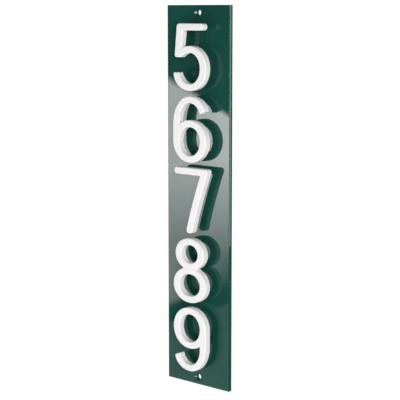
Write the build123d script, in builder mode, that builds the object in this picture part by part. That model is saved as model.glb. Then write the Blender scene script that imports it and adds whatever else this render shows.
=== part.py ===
# House number plaque: a glossy panel with five numerals that stand off it on hidden studs.
# Frame: X to the right, Y towards the wall, Z up. The origin is the middle of the panel's back face.
# Numeral outlines are drawn in X and Z from the middle of the line that the numeral stands on.
import os

from build123d import *

# Panel, in millimetres
panel_thickness = 5.0
panel_edge_round = 0.4
panel_side_margin = 22.225
panel_top_margin = 20.6
panel_bottom_margin = 18.9
fixing_hole_diameter = 6.5
countersink_diameter = 10.0
fixing_hole_inset = 8.5

# Numerals
numeral_count = 5
numeral_width = 50.8
numeral_height = 76.2
numeral_gap = 6.0
numeral_thickness = 7.62
numeral_edge_round = 1.2
upright_stroke = 9.7
level_stroke = 7.9
hook_width = 8.2
hook_end_round = 1.6
crotch_round = 0.8
curve_fullness = 0.565

# Outline of the five
five_bar_inset = 4.4
five_stem_inset = 2.4
five_stem_lean = 3.7
five_shoulder_round = 4.0
five_foot_level = 37.9
five_foot_round = 2.5
five_bowl_height = 51.0
five_neck_width = 15.0
five_neck_drop = 6.0
five_hook_inset = 0.6
five_hook_level = 20.6
five_hook_flare = 3.4

# Outline of the six, which also makes the nine when it is turned upside down
six_bowl_height = 48.9
six_shoulder_drop = 33.0
six_inside_shoulder_drop = 28.0
six_hook_inset = 2.2
six_hook_drop = 16.7
six_hook_slant = 3.2
six_hook_flare = 1.6

# Outline of the seven
seven_bar_inset = 2.0
seven_bar_round = 3.0
seven_overhang = 3.9
seven_corner_round = 3.4
seven_stem_width = 9.7
seven_stem_bend = 13.1
seven_foot_end = 3.8
seven_foot_round = 3.5

# Outline of the eight
eight_lower_height = 41.8
eight_upper_width = 44.4
eight_waist_overlap = 2.8

# Studs that carry the numerals
stand_off = 7.62
stud_diameter = 3.0
stud_clearance = 0.05
stud_socket_depth = 5.0

# Sizes that follow from the ones above
half_width = numeral_width / 2
numeral_pitch = numeral_height + numeral_gap
numeral_stack = numeral_count * numeral_pitch - numeral_gap
panel_width = numeral_width + 2 * panel_side_margin
panel_height = panel_top_margin + numeral_stack + panel_bottom_margin
fixing_hole_level = panel_height / 2 - fixing_hole_inset
numeral_back = panel_thickness + stand_off
bar_under = numeral_height - level_stroke
inside_width = numeral_width - 2 * upright_stroke
inside_half = inside_width / 2
stud_length = numeral_back + stud_socket_depth
stud_hole_radius = stud_diameter / 2 + stud_clearance
stud_spots = [(0, level_stroke / 2), (0, numeral_height - level_stroke / 2)]

wall_plane = Plane(origin=(0, 0, 0), x_dir=(1, 0, 0), z_dir=(0, -1, 0))
front_plane = wall_plane.offset(panel_thickness)


def base_line(place):
    """Height of the line that a numeral stands on, counted down from the top of the panel."""
    return panel_height / 2 - panel_top_margin - numeral_height - place * numeral_pitch


def numeral_plane(place):
    """Back face of a numeral, with its origin at the middle of the line that the numeral stands on."""
    return Plane(origin=(0, -numeral_back, base_line(place)), x_dir=(1, 0, 0), z_dir=(0, -1, 0))


def turn(start, corner, end):
    """Round stretch that leaves start and reaches end along the lines to their common corner."""
    first, middle, last = Vector(start), Vector(corner), Vector(end)
    first_handle = first + (middle - first) * curve_fullness
    last_handle = last + (middle - last) * curve_fullness
    return Bezier(first, first_handle, last_handle, last)


def bowl(width, bottom, top):
    """Closed round bowl on the numeral's middle line."""
    side = width / 2
    middle = (bottom + top) / 2
    turn((0, bottom), (side, bottom), (side, middle))
    turn((side, middle), (side, top), (0, top))
    turn((0, top), (-side, top), (-side, middle))
    turn((-side, middle), (-side, bottom), (0, bottom))


os.makedirs("parts", exist_ok=True)

# Numeral five: a bar and a leaning stem in one piece with an open bowl that ends in a hook
five_bar_end = half_width - five_bar_inset
five_bar_cap = five_bar_end - level_stroke / 2
five_stem_foot = five_stem_inset - half_width
five_stem_top = five_stem_foot + five_stem_lean
five_lean_under_bar = five_stem_lean * level_stroke / (numeral_height - five_foot_level)
five_inside_top = five_stem_top + upright_stroke - five_lean_under_bar
five_inside_foot = five_stem_foot + upright_stroke
five_bowl_middle = five_bowl_height / 2
five_bowl_under = five_bowl_height - level_stroke
five_neck = five_stem_foot + upright_stroke / 2
five_neck_level = five_bowl_height - five_neck_drop
five_hook_outside = five_hook_inset - half_width
five_hook_inside = five_hook_outside + hook_width
with BuildPart() as numeral_five:
    with BuildSketch(numeral_plane(0)) as five_face:
        with BuildLine():
            Line((five_stem_foot, five_foot_level), (five_stem_top, numeral_height))
            Line((five_stem_top, numeral_height), (five_bar_cap, numeral_height))
            ThreePointArc((five_bar_cap, numeral_height), (five_bar_end, numeral_height - level_stroke / 2),
                          (five_bar_cap, bar_under))
            Line((five_bar_cap, bar_under), (five_inside_top, bar_under))
            Line((five_inside_top, bar_under), (five_inside_foot, five_foot_level))
            Line((five_inside_foot, five_foot_level), (five_stem_foot, five_foot_level))
        make_face()
        fillet(five_face.vertices().sort_by_distance((five_stem_top, numeral_height))[0], five_shoulder_round)
        fillet(five_face.vertices().sort_by_distance((five_stem_foot, five_foot_level))[0], five_foot_round)
        with BuildLine():
            turn((five_neck, five_neck_level), (-five_neck_width + level_stroke / 2, five_bowl_height),
                 (0, five_bowl_height))
            turn((0, five_bowl_height), (half_width, five_bowl_height), (half_width, five_bowl_middle))
            turn((half_width, five_bowl_middle), (half_width, 0), (0, 0))
            turn((0, 0), (five_hook_outside, 0), (five_hook_outside, five_hook_level))
            Line((five_hook_outside, five_hook_level), (five_hook_inside, five_hook_level))
            turn((five_hook_inside, five_hook_level), (five_hook_inside + five_hook_flare, level_stroke),
                 (0, level_stroke))
            turn((0, level_stroke), (inside_half, level_stroke), (inside_half, five_bowl_middle))
            turn((inside_half, five_bowl_middle), (inside_half, five_bowl_under), (0, five_bowl_under))
            turn((0, five_bowl_under), (-five_neck_width / 2, five_bowl_under),
                 (five_inside_foot, five_foot_level))
            Line((five_inside_foot, five_foot_level), (five_neck, five_foot_level))
            Line((five_neck, five_foot_level), (five_neck, five_neck_level))
        make_face()
        fillet(five_face.vertices().sort_by_distance((five_hook_outside, five_hook_level))[0], hook_end_round)
        fillet(five_face.vertices().sort_by_distance((five_hook_inside, five_hook_level))[0], hook_end_round)
        fillet(five_face.vertices().sort_by_distance((five_inside_top, bar_under))[0], crotch_round)
        fillet(five_face.vertices().sort_by_distance((five_inside_foot, five_bowl_height))[0], crotch_round)
        fillet(five_face.vertices().sort_by_distance((five_inside_foot, five_foot_level))[0], five_foot_round)
    extrude(amount=numeral_thickness)
    fillet(numeral_five.faces().sort_by(Axis.Y)[0].edges(), numeral_edge_round)
    with BuildSketch(numeral_plane(0)):
        with Locations(*stud_spots):
            Circle(stud_hole_radius)
    extrude(amount=stud_socket_depth, mode=Mode.SUBTRACT)
numeral_five.part.label = "numeral_five"
export_step(numeral_five.part, "parts/numeral_five.step")

# Numeral six: a bowl with a tail that rises from its left side and hooks over
six_bowl_middle = six_bowl_height / 2
six_shoulder = numeral_height - six_shoulder_drop
six_inside_shoulder = numeral_height - six_inside_shoulder_drop
six_hook_outside = half_width - six_hook_inset
six_hook_inside = six_hook_outside - hook_width
six_hook_top = numeral_height - six_hook_drop
six_hook_bottom = six_hook_top - six_hook_slant
six_notch = (-inside_half, six_bowl_height - level_stroke)
with BuildPart() as numeral_six:
    with BuildSketch(numeral_plane(1)) as six_face:
        with BuildLine():
            Line((-half_width, six_bowl_middle), (-half_width, six_shoulder))
            turn((-half_width, six_shoulder), (-half_width, numeral_height), (0, numeral_height))
            turn((0, numeral_height), (six_hook_outside - six_hook_flare, numeral_height),
                 (six_hook_outside, six_hook_top))
            Line((six_hook_outside, six_hook_top), (six_hook_inside, six_hook_bottom))
            turn((six_hook_inside, six_hook_bottom), (six_hook_inside - six_hook_flare, bar_under),
                 (0, bar_under))
            turn((0, bar_under), (-inside_half, bar_under), (-inside_half, six_inside_shoulder))
            Line((-inside_half, six_inside_shoulder), (-inside_half, six_bowl_middle))
            Line((-inside_half, six_bowl_middle), (-half_width, six_bowl_middle))
        make_face()
        fillet(six_face.vertices().sort_by_distance((six_hook_outside, six_hook_top))[0], hook_end_round)
        fillet(six_face.vertices().sort_by_distance((six_hook_inside, six_hook_bottom))[0], hook_end_round)
        with BuildLine():
            bowl(numeral_width, 0, six_bowl_height)
        make_face()
        fillet(six_face.vertices().sort_by_distance(six_notch)[0], crotch_round)
        with BuildLine():
            bowl(inside_width, level_stroke, six_bowl_height - level_stroke)
        make_face(mode=Mode.SUBTRACT)
    extrude(amount=numeral_thickness)
    fillet(numeral_six.faces().sort_by(Axis.Y)[0].edges(), numeral_edge_round)
    with BuildSketch(numeral_plane(1)):
        with Locations(*stud_spots):
            Circle(stud_hole_radius)
    extrude(amount=stud_socket_depth, mode=Mode.SUBTRACT)
numeral_six.part.label = "numeral_six"
export_step(numeral_six.part, "parts/numeral_six.step")

# Numeral seven: a bar and a slightly bowed stem of even width
seven_bar_start = seven_bar_inset - half_width
seven_bar_end = half_width + seven_overhang
seven_stem_top = seven_bar_end - seven_stem_width
seven_bend_level = numeral_height / 2
seven_foot_start = seven_foot_end - seven_stem_width
with BuildPart() as numeral_seven:
    with BuildSketch(numeral_plane(2)) as seven_face:
        with BuildLine():
            turn((seven_bar_end, numeral_height), (seven_stem_bend, seven_bend_level), (seven_foot_end, 0))
            Line((seven_foot_end, 0), (seven_foot_start, 0))
            turn((seven_foot_start, 0), (seven_stem_bend - seven_stem_width, seven_bend_level),
                 (seven_stem_top, numeral_height))
            Line((seven_stem_top, numeral_height), (seven_bar_end, numeral_height))
        make_face()
        fillet(seven_face.vertices().sort_by_distance((seven_bar_end, numeral_height))[0], seven_corner_round)
        fillet(seven_face.vertices().sort_by_distance((seven_foot_end, 0))[0], seven_foot_round)
        fillet(seven_face.vertices().sort_by_distance((seven_foot_start, 0))[0], seven_foot_round)
        with BuildLine():
            Polyline((seven_bar_start, bar_under), (seven_stem_top, bar_under), (seven_stem_top, numeral_height),
                     (seven_bar_start, numeral_height), close=True)
        make_face()
        fillet(seven_face.vertices().sort_by_distance((seven_bar_start, numeral_height))[0], seven_bar_round)
        fillet(seven_face.vertices().sort_by_distance((seven_bar_start, bar_under))[0], seven_bar_round)
        fillet(seven_face.vertices().sort_by_distance((seven_stem_top, bar_under))[0], crotch_round)
    extrude(amount=numeral_thickness)
    fillet(numeral_seven.faces().sort_by(Axis.Y)[0].edges(), numeral_edge_round)
    with BuildSketch(numeral_plane(2)):
        with Locations(*stud_spots):
            Circle(stud_hole_radius)
    extrude(amount=stud_socket_depth, mode=Mode.SUBTRACT)
numeral_seven.part.label = "numeral_seven"
export_step(numeral_seven.part, "parts/numeral_seven.step")

# Numeral eight: a small bowl on a large one, each with its counter
eight_upper_bottom = eight_lower_height - eight_waist_overlap
with BuildPart() as numeral_eight:
    with BuildSketch(numeral_plane(3)) as eight_face:
        with BuildLine():
            bowl(numeral_width, 0, eight_lower_height)
        make_face()
        with BuildLine():
            bowl(eight_upper_width, eight_upper_bottom, numeral_height)
        make_face()
        waist = eight_face.vertices().filter_by_position(Axis.Y, eight_upper_bottom, eight_lower_height)
        fillet(waist, crotch_round)
        with BuildLine():
            bowl(inside_width, level_stroke, eight_lower_height - level_stroke)
        make_face(mode=Mode.SUBTRACT)
        with BuildLine():
            bowl(eight_upper_width - 2 * upright_stroke, eight_upper_bottom + level_stroke, bar_under)
        make_face(mode=Mode.SUBTRACT)
    extrude(amount=numeral_thickness)
    fillet(numeral_eight.faces().sort_by(Axis.Y)[0].edges(), numeral_edge_round)
    with BuildSketch(numeral_plane(3)):
        with Locations(*stud_spots):
            Circle(stud_hole_radius)
    extrude(amount=stud_socket_depth, mode=Mode.SUBTRACT)
numeral_eight.part.label = "numeral_eight"
export_step(numeral_eight.part, "parts/numeral_eight.step")

# Numeral nine: the same outline as the six, turned upside down
with BuildPart() as numeral_nine:
    with BuildSketch(numeral_plane(4)):
        with Locations((0, numeral_height)):
            add(six_face.sketch_local, rotation=180)
    extrude(amount=numeral_thickness)
    fillet(numeral_nine.faces().sort_by(Axis.Y)[0].edges(), numeral_edge_round)
    with BuildSketch(numeral_plane(4)):
        with Locations(*stud_spots):
            Circle(stud_hole_radius)
    extrude(amount=stud_socket_depth, mode=Mode.SUBTRACT)
numeral_nine.part.label = "numeral_nine"
export_step(numeral_nine.part, "parts/numeral_nine.step")

# Back panel: a flat sheet with eased front edges, countersunk for the wall screws and drilled for the studs
panel_stud_spots = []
for place in range(numeral_count):
    for across, up in stud_spots:
        panel_stud_spots.append((across, base_line(place) + up))
with BuildPart() as back_panel:
    with BuildSketch(wall_plane):
        Rectangle(panel_width, panel_height)
    extrude(amount=panel_thickness)
    fillet(back_panel.faces().sort_by(Axis.Y)[0].edges(), panel_edge_round)
    with Locations(front_plane):
        with Locations((0, fixing_hole_level), (0, -fixing_hole_level)):
            CounterSinkHole(fixing_hole_diameter / 2, countersink_diameter / 2, counter_sink_angle=90)
    with BuildSketch(wall_plane):
        with Locations(*panel_stud_spots):
            Circle(stud_hole_radius)
    extrude(amount=panel_thickness, mode=Mode.SUBTRACT)
back_panel.part.label = "back_panel"
export_step(back_panel.part, "parts/back_panel.step")

# Mounting studs: plain pins, flush with the panel's back and cemented into panel and numerals
with BuildPart() as mounting_studs:
    with BuildSketch(wall_plane):
        with Locations(*panel_stud_spots):
            Circle(stud_diameter / 2)
    extrude(amount=stud_length)
mounting_studs.part.label = "mounting_studs"
export_step(mounting_studs.part, "parts/mounting_studs.step")
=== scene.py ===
import bpy
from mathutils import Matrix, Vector


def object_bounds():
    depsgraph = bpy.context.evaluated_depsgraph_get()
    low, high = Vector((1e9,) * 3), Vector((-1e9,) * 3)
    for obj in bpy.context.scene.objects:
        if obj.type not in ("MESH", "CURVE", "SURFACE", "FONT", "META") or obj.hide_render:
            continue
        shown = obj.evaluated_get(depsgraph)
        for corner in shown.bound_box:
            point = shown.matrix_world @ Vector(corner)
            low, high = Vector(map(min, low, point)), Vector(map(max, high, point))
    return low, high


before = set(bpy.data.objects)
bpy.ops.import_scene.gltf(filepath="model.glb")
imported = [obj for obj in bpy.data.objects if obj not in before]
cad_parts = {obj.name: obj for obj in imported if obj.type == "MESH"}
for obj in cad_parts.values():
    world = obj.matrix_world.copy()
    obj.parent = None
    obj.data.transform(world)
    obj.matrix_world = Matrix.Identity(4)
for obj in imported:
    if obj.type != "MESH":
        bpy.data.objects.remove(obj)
cad_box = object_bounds()

# Back panel: a flat sheet of dark green acrylic, coloured right through, with the slight roll of cast sheet.
# It is sawn to size, drilled for the studs and countersunk for two wall screws.
# Its front and the front part of its edges are polished. Its back and the edges beside it are left dull.
PANEL_GREEN = (0.0070, 0.0635, 0.0490, 1.0)
PANEL_DEEP_GREEN = (0.0058, 0.0555, 0.0428, 1.0)
PANEL_CLOUDS_PER_METRE = 35.0
PANEL_CLOUD_DETAIL = 2.0
PANEL_WIPES_PER_METRE = 220.0
PANEL_WIPE_DETAIL = 4.0
PANEL_WIPE_STRETCH = (1.0, 1.0, 0.25)
PANEL_BEST_POLISH = 0.015
PANEL_WORST_POLISH = 0.035
SAWN_DEPTH = 0.0023
SAWN_BORDER = 0.0001
SAWN_ROUGHNESS = 0.95
PANEL_ROLLS_PER_METRE = 28.0
PANEL_ROLL_DETAIL = 1.0
PANEL_ROLL_STRENGTH = 0.08
PANEL_ROLL_HEIGHT = 0.0004
PANEL_REFRACTION = 1.5
PANEL_GLOSS = 0.24
NOISE_LOW = 0.3
NOISE_HIGH = 0.7
FIRST_COLOUR_END = 0.35
SECOND_COLOUR_START = 0.65


def new_finish(name):
    """A material with only its surface shader, which is returned with the node tree."""
    finish = bpy.data.materials.new(name)
    finish.use_nodes = True
    tree = finish.node_tree
    shader = tree.nodes["Principled BSDF"]
    return finish, tree, shader


def place_pattern(tree, scale=(1.0, 1.0, 1.0)):
    """The piece's own coordinates, scaled along X, Y and Z."""
    where = tree.nodes.new("ShaderNodeTexCoord")
    mapping = tree.nodes.new("ShaderNodeMapping")
    mapping.inputs["Scale"].default_value = scale
    tree.links.new(where.outputs["Object"], mapping.inputs["Vector"])
    return mapping.outputs["Vector"]


def cloudy(tree, vector, patches_per_metre, detail):
    """Soft noise with that many patches to the metre."""
    noise = tree.nodes.new("ShaderNodeTexNoise")
    noise.inputs["Scale"].default_value = patches_per_metre
    noise.inputs["Detail"].default_value = detail
    tree.links.new(vector, noise.inputs["Vector"])
    return noise.outputs["Fac"]


def spread(tree, value, from_low, from_high, to_low, to_high, clamped=False):
    """A value mapped from one span to another. The ends of a span are numbers or sockets."""
    mapped = tree.nodes.new("ShaderNodeMapRange")
    mapped.clamp = clamped
    ends = {"Value": value, "From Min": from_low, "From Max": from_high, "To Min": to_low, "To Max": to_high}
    for name, end in ends.items():
        if isinstance(end, float):
            mapped.inputs[name].default_value = end
        else:
            tree.links.new(end, mapped.inputs[name])
    return mapped.outputs["Result"]


def noise_between(tree, noise, low, high):
    """The middle span of a noise, where most of it lies, spread between low and high."""
    return spread(tree, noise, NOISE_LOW, NOISE_HIGH, low, high, clamped=True)


def between_colours(tree, noise, first, second):
    """A colour that goes from first to second with the noise."""
    ramp = tree.nodes.new("ShaderNodeValToRGB")
    ramp.color_ramp.elements[0].position = FIRST_COLOUR_END
    ramp.color_ramp.elements[0].color = first
    ramp.color_ramp.elements[1].position = SECOND_COLOUR_START
    ramp.color_ramp.elements[1].color = second
    tree.links.new(noise, ramp.inputs["Fac"])
    return ramp.outputs["Color"]


def raised(tree, height, strength, distance, below=None):
    """A bump from that height, on top of an earlier one where there is one."""
    bump = tree.nodes.new("ShaderNodeBump")
    bump.inputs["Strength"].default_value = strength
    bump.inputs["Distance"].default_value = distance
    tree.links.new(height, bump.inputs["Height"])
    if below is not None:
        tree.links.new(below, bump.inputs["Normal"])
    return bump.outputs["Normal"]


def dress(node, finish):
    """Puts the finish on every material slot of a CAD node."""
    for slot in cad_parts[node].material_slots:
        slot.material = finish


panel_finish, tree, shader = new_finish("polished_green_acrylic")
panel_place = place_pattern(tree)
panel_cloud = cloudy(tree, panel_place, PANEL_CLOUDS_PER_METRE, PANEL_CLOUD_DETAIL)
panel_colour = between_colours(tree, panel_cloud, PANEL_DEEP_GREEN, PANEL_GREEN)
tree.links.new(panel_colour, shader.inputs["Base Color"])
panel_wipe_place = place_pattern(tree, PANEL_WIPE_STRETCH)
panel_wipe = cloudy(tree, panel_wipe_place, PANEL_WIPES_PER_METRE, PANEL_WIPE_DETAIL)
panel_polish = noise_between(tree, panel_wipe, PANEL_BEST_POLISH, PANEL_WORST_POLISH)
panel_axes = tree.nodes.new("ShaderNodeSeparateXYZ")
tree.links.new(panel_place, panel_axes.inputs["Vector"])
panel_depth = panel_axes.outputs["Y"]
panel_back = cad_box[1][1]
sawn_start = panel_back - SAWN_DEPTH
polish_end = sawn_start - SAWN_BORDER
panel_dullness = spread(tree, panel_depth, polish_end, sawn_start, panel_polish, SAWN_ROUGHNESS, clamped=True)
tree.links.new(panel_dullness, shader.inputs["Roughness"])
panel_waves = cloudy(tree, panel_place, PANEL_ROLLS_PER_METRE, PANEL_ROLL_DETAIL)
panel_roll = raised(tree, panel_waves, PANEL_ROLL_STRENGTH, PANEL_ROLL_HEIGHT)
tree.links.new(panel_roll, shader.inputs["Normal"])
shader.inputs["IOR"].default_value = PANEL_REFRACTION
shader.inputs["Specular IOR Level"].default_value = PANEL_GLOSS
dress("back_panel", panel_finish)

# Mounting studs: ten plain lengths of drawn aluminium rod, cut square and left dull so the cement grips.
# One end is cemented into the panel and the other into the back of a numeral, to hold it off the panel.
STUD_GREY = (0.74, 0.75, 0.75, 1.0)
STUD_DULL_GREY = (0.60, 0.61, 0.62, 1.0)
STUD_LINES_PER_METRE = 3000.0
STUD_LINE_DETAIL = 3.0
STUD_LINE_STRETCH = (1.0, 0.06, 1.0)
STUD_LEAST_ROUGHNESS = 0.65
STUD_MOST_ROUGHNESS = 0.80
STUD_LINE_STRENGTH = 0.2
STUD_LINE_HEIGHT = 0.00005

stud_finish, tree, shader = new_finish("drawn_aluminium")
stud_line_place = place_pattern(tree, STUD_LINE_STRETCH)
stud_lines = cloudy(tree, stud_line_place, STUD_LINES_PER_METRE, STUD_LINE_DETAIL)
stud_colour = between_colours(tree, stud_lines, STUD_DULL_GREY, STUD_GREY)
tree.links.new(stud_colour, shader.inputs["Base Color"])
stud_dullness = noise_between(tree, stud_lines, STUD_LEAST_ROUGHNESS, STUD_MOST_ROUGHNESS)
tree.links.new(stud_dullness, shader.inputs["Roughness"])
stud_grooves = raised(tree, stud_lines, STUD_LINE_STRENGTH, STUD_LINE_HEIGHT)
tree.links.new(stud_grooves, shader.inputs["Normal"])
shader.inputs["Metallic"].default_value = 1.0
dress("mounting_studs", stud_finish)

# Numerals: five thick white plastic mouldings with softly rounded front edges, held only by their studs.
# The mould leaves a fine, even satin on them, and the white varies a little where the plastic flowed.
NUMERALS = ("numeral_five", "numeral_six", "numeral_seven", "numeral_eight", "numeral_nine")
NUMERAL_WHITE = (0.775, 0.76, 0.76, 1.0)
NUMERAL_WARM_WHITE = (0.755, 0.74, 0.735, 1.0)
NUMERAL_CLOUDS_PER_METRE = 60.0
NUMERAL_CLOUD_DETAIL = 3.0
NUMERAL_GRAINS_PER_METRE = 2600.0
NUMERAL_GRAIN_DETAIL = 2.0
NUMERAL_LEAST_ROUGHNESS = 0.46
NUMERAL_MOST_ROUGHNESS = 0.58
NUMERAL_FLOW_STRENGTH = 0.15
NUMERAL_FLOW_HEIGHT = 0.0003
NUMERAL_GRAIN_STRENGTH = 0.12
NUMERAL_GRAIN_HEIGHT = 0.00005
NUMERAL_REFRACTION = 1.49

numeral_finish, tree, shader = new_finish("moulded_white_plastic")
numeral_place = place_pattern(tree)
numeral_cloud = cloudy(tree, numeral_place, NUMERAL_CLOUDS_PER_METRE, NUMERAL_CLOUD_DETAIL)
numeral_colour = between_colours(tree, numeral_cloud, NUMERAL_WARM_WHITE, NUMERAL_WHITE)
tree.links.new(numeral_colour, shader.inputs["Base Color"])
numeral_grain = cloudy(tree, numeral_place, NUMERAL_GRAINS_PER_METRE, NUMERAL_GRAIN_DETAIL)
numeral_satin = noise_between(tree, numeral_grain, NUMERAL_LEAST_ROUGHNESS, NUMERAL_MOST_ROUGHNESS)
tree.links.new(numeral_satin, shader.inputs["Roughness"])
numeral_flow = raised(tree, numeral_cloud, NUMERAL_FLOW_STRENGTH, NUMERAL_FLOW_HEIGHT)
numeral_skin = raised(tree, numeral_grain, NUMERAL_GRAIN_STRENGTH, NUMERAL_GRAIN_HEIGHT, numeral_flow)
tree.links.new(numeral_skin, shader.inputs["Normal"])
shader.inputs["IOR"].default_value = NUMERAL_REFRACTION
for numeral in NUMERALS:
    dress(numeral, numeral_finish)

# Floor: a plain white sheet well below the plaque, which is shown clear of any wall.
# It glows as a brightly lit sheet does. Its left edge ends the pale reflection low on the panel.
FLOOR_SIZE = 2.4
FLOOR_MIDDLE = (-0.274, -0.969, -0.70)
FLOOR_TURN = -0.099
FLOOR_WHITE = (0.25, 0.25, 0.25, 1.0)
FLOOR_ROUGHNESS = 0.9
FLOOR_GLOW_COLOUR = (0.94, 1.0, 1.0, 1.0)
FLOOR_GLOW = 1.18

bpy.ops.object.select_all(action="DESELECT")
bpy.ops.mesh.primitive_plane_add(size=FLOOR_SIZE, location=FLOOR_MIDDLE, rotation=(0.0, 0.0, FLOOR_TURN))
floor = bpy.context.object
floor.name = "floor"
bpy.ops.object.transform_apply(location=True, rotation=True, scale=True)
floor_finish, tree, shader = new_finish("white_sweep")
shader.inputs["Base Color"].default_value = FLOOR_WHITE
shader.inputs["Roughness"].default_value = FLOOR_ROUGHNESS
shader.inputs["Emission Color"].default_value = FLOOR_GLOW_COLOUR
shader.inputs["Emission Strength"].default_value = FLOOR_GLOW
floor.data.materials.append(floor_finish)

# Room: an even white studio, bright where the camera looks straight at it.
# Everything else sees it dim, so the gloss stays dark and the shadows stay deep.
ROOM_WHITE = (1.0, 1.0, 1.0, 1.0)
ROOM_STRENGTH = 0.12
BACKDROP_STRENGTH = 1.05

world = bpy.data.worlds.new("studio")
bpy.context.scene.world = world
world.use_nodes = True
tree = world.node_tree
room = tree.nodes["Background"]
room.inputs["Color"].default_value = ROOM_WHITE
room.inputs["Strength"].default_value = ROOM_STRENGTH
backdrop = tree.nodes.new("ShaderNodeBackground")
backdrop.inputs["Color"].default_value = ROOM_WHITE
backdrop.inputs["Strength"].default_value = BACKDROP_STRENGTH
path = tree.nodes.new("ShaderNodeLightPath")
choice = tree.nodes.new("ShaderNodeMixShader")
tree.links.new(path.outputs["Is Camera Ray"], choice.inputs["Fac"])
tree.links.new(room.outputs["Background"], choice.inputs[1])
tree.links.new(backdrop.outputs["Background"], choice.inputs[2])
tree.links.new(choice.outputs["Shader"], tree.nodes["World Output"].inputs["Surface"])

# Key light: the soft box that shows in the panel's gloss, in front of the plaque and to its left.
# In the gloss, its lit part is a wedge that narrows to the right and fades downwards.
# Left, right, bottom and top are shares of the box. Each fade lists heights in the wedge and their greys.
KEY_PLACE = (-0.795, -0.887, -0.180)
KEY_TARGET = (0.0, -0.005, 0.003)
KEY_SIZE = (0.3, 0.6)
KEY_POWER = 9.65
KEY_TINT = (1.0, 0.97, 0.975)
KEY_LEFT = 0.283
KEY_RIGHT = 0.717
KEY_LEFT_BOTTOM = 0.122
KEY_RIGHT_BOTTOM = 0.199
KEY_LEFT_TOP = 0.944
KEY_RIGHT_TOP = 0.808
KEY_TOP_EDGE = 0.97
KEY_LEFT_FADE = (
    (0.0, 0.0), (0.03, 0.29), (0.28, 0.32), (0.44, 0.50), (0.60, 0.70), (0.94, 0.71), (KEY_TOP_EDGE, 0.0),
)
KEY_RIGHT_FADE = (
    (0.0, 0.0), (0.15, 0.16), (0.32, 0.44), (0.57, 0.73), (0.70, 0.98), (0.94, 1.0), (KEY_TOP_EDGE, 0.0),
)


def soft_box(name, place, target, size, power):
    """A rectangular soft light at place that faces target. Its size is its width and height."""
    light = bpy.data.lights.new(name, "AREA")
    light.shape = "RECTANGLE"
    light.size, light.size_y = size
    light.energy = power
    lamp = bpy.data.objects.new(name, light)
    bpy.context.scene.collection.objects.link(lamp)
    lamp.location = place
    lamp.rotation_mode = "QUATERNION"
    lamp.rotation_quaternion = (Vector(target) - Vector(place)).to_track_quat("-Z", "Y")
    lamp.visible_camera = False
    return light


def graded(tree, value, stops):
    """A grey that follows the value through the stops."""
    ramp = tree.nodes.new("ShaderNodeValToRGB")
    elements = ramp.color_ramp.elements
    for place, grey in stops[1:-1]:
        elements.new(place).color = (grey, grey, grey, 1.0)
    for element, (place, grey) in ((elements[0], stops[0]), (elements[-1], stops[-1])):
        element.position = place
        element.color = (grey, grey, grey, 1.0)
    tree.links.new(value, ramp.inputs["Fac"])
    return ramp.outputs["Color"]


key = soft_box("key_box", KEY_PLACE, KEY_TARGET, KEY_SIZE, KEY_POWER)
key.color = KEY_TINT
key.use_nodes = True
tree = key.node_tree
key_face = tree.nodes.new("ShaderNodeNewGeometry")
key_axes = tree.nodes.new("ShaderNodeSeparateXYZ")
tree.links.new(key_face.outputs["Parametric"], key_axes.inputs["Vector"])
key_across = key_axes.outputs["X"]
key_up = key_axes.outputs["Y"]
key_bottom = spread(tree, key_across, KEY_LEFT, KEY_RIGHT, KEY_LEFT_BOTTOM, KEY_RIGHT_BOTTOM)
key_top = spread(tree, key_across, KEY_LEFT, KEY_RIGHT, KEY_LEFT_TOP, KEY_RIGHT_TOP)
key_height = spread(tree, key_up, key_bottom, key_top, 0.0, KEY_TOP_EDGE)
key_sides = tree.nodes.new("ShaderNodeMix")
key_sides.data_type = "RGBA"
tree.links.new(spread(tree, key_across, KEY_LEFT, KEY_RIGHT, 0.0, 1.0), key_sides.inputs["Factor"])
tree.links.new(graded(tree, key_height, KEY_LEFT_FADE), key_sides.inputs["A"])
tree.links.new(graded(tree, key_height, KEY_RIGHT_FADE), key_sides.inputs["B"])
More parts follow.
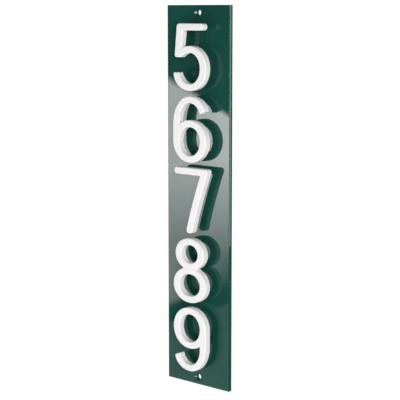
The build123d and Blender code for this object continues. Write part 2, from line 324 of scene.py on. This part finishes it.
tree.links.new(key_sides.outputs["Result"], tree.nodes["Emission"].inputs["Color"])

# Other lights: a side box and a tall, narrow front box to the right, for the numerals' fronts and walls.
# The front box also makes the glints in the screw holes.
# A rim box behind lights the panel's right edge, and a small top box the upper sides.
SIDE_PLACE = (1.16, -0.62, 0.3)
SIDE_TARGET = (0.0, 0.0, 0.03)
SIDE_SIZE = (0.5, 0.7)
SIDE_POWER = 11.2
FRONT_PLACE = (1.0, -0.93, 0.15)
FRONT_TARGET = (0.0, 0.0, 0.05)
FRONT_SIZE = (0.06, 1.1)
FRONT_POWER = 6.8
RIM_PLACE = (1.02, 1.14, -0.015)
RIM_TARGET = (0.0, 0.0, 0.0)
RIM_SIZE = (0.3, 0.63)
RIM_POWER = 2.9
TOP_PLACE = (0.0, -1.0, 1.0)
TOP_TARGET = (0.0, 0.0, 0.0)
TOP_SIZE = (0.4, 0.25)
TOP_POWER = 0.4

soft_box("side_box", SIDE_PLACE, SIDE_TARGET, SIDE_SIZE, SIDE_POWER)
soft_box("front_box", FRONT_PLACE, FRONT_TARGET, FRONT_SIZE, FRONT_POWER)
soft_box("rim_box", RIM_PLACE, RIM_TARGET, RIM_SIZE, RIM_POWER)
soft_box("top_box", TOP_PLACE, TOP_TARGET, TOP_SIZE, TOP_POWER)

# Camera: to the right of the plaque and level with its top, looking a little down at it.
# It shows the colours as they are, with no film curve over them.
CAMERA_PLACE = (0.9717, -1.0827, 0.2154)
CAMERA_LINE = (-0.66110, 0.73559, -0.14786)
CAMERA_SENSOR = 36.0
CAMERA_LENS = 113.75

camera_data = bpy.data.cameras.new("camera")
camera_data.sensor_width = CAMERA_SENSOR
camera_data.lens = CAMERA_LENS
camera = bpy.data.objects.new("camera", camera_data)
bpy.context.scene.collection.objects.link(camera)
camera.location = CAMERA_PLACE
camera.rotation_mode = "QUATERNION"
camera.rotation_quaternion = Vector(CAMERA_LINE).to_track_quat("-Z", "Y")
bpy.context.scene.camera = camera
bpy.context.scene.view_settings.view_transform = "Standard"
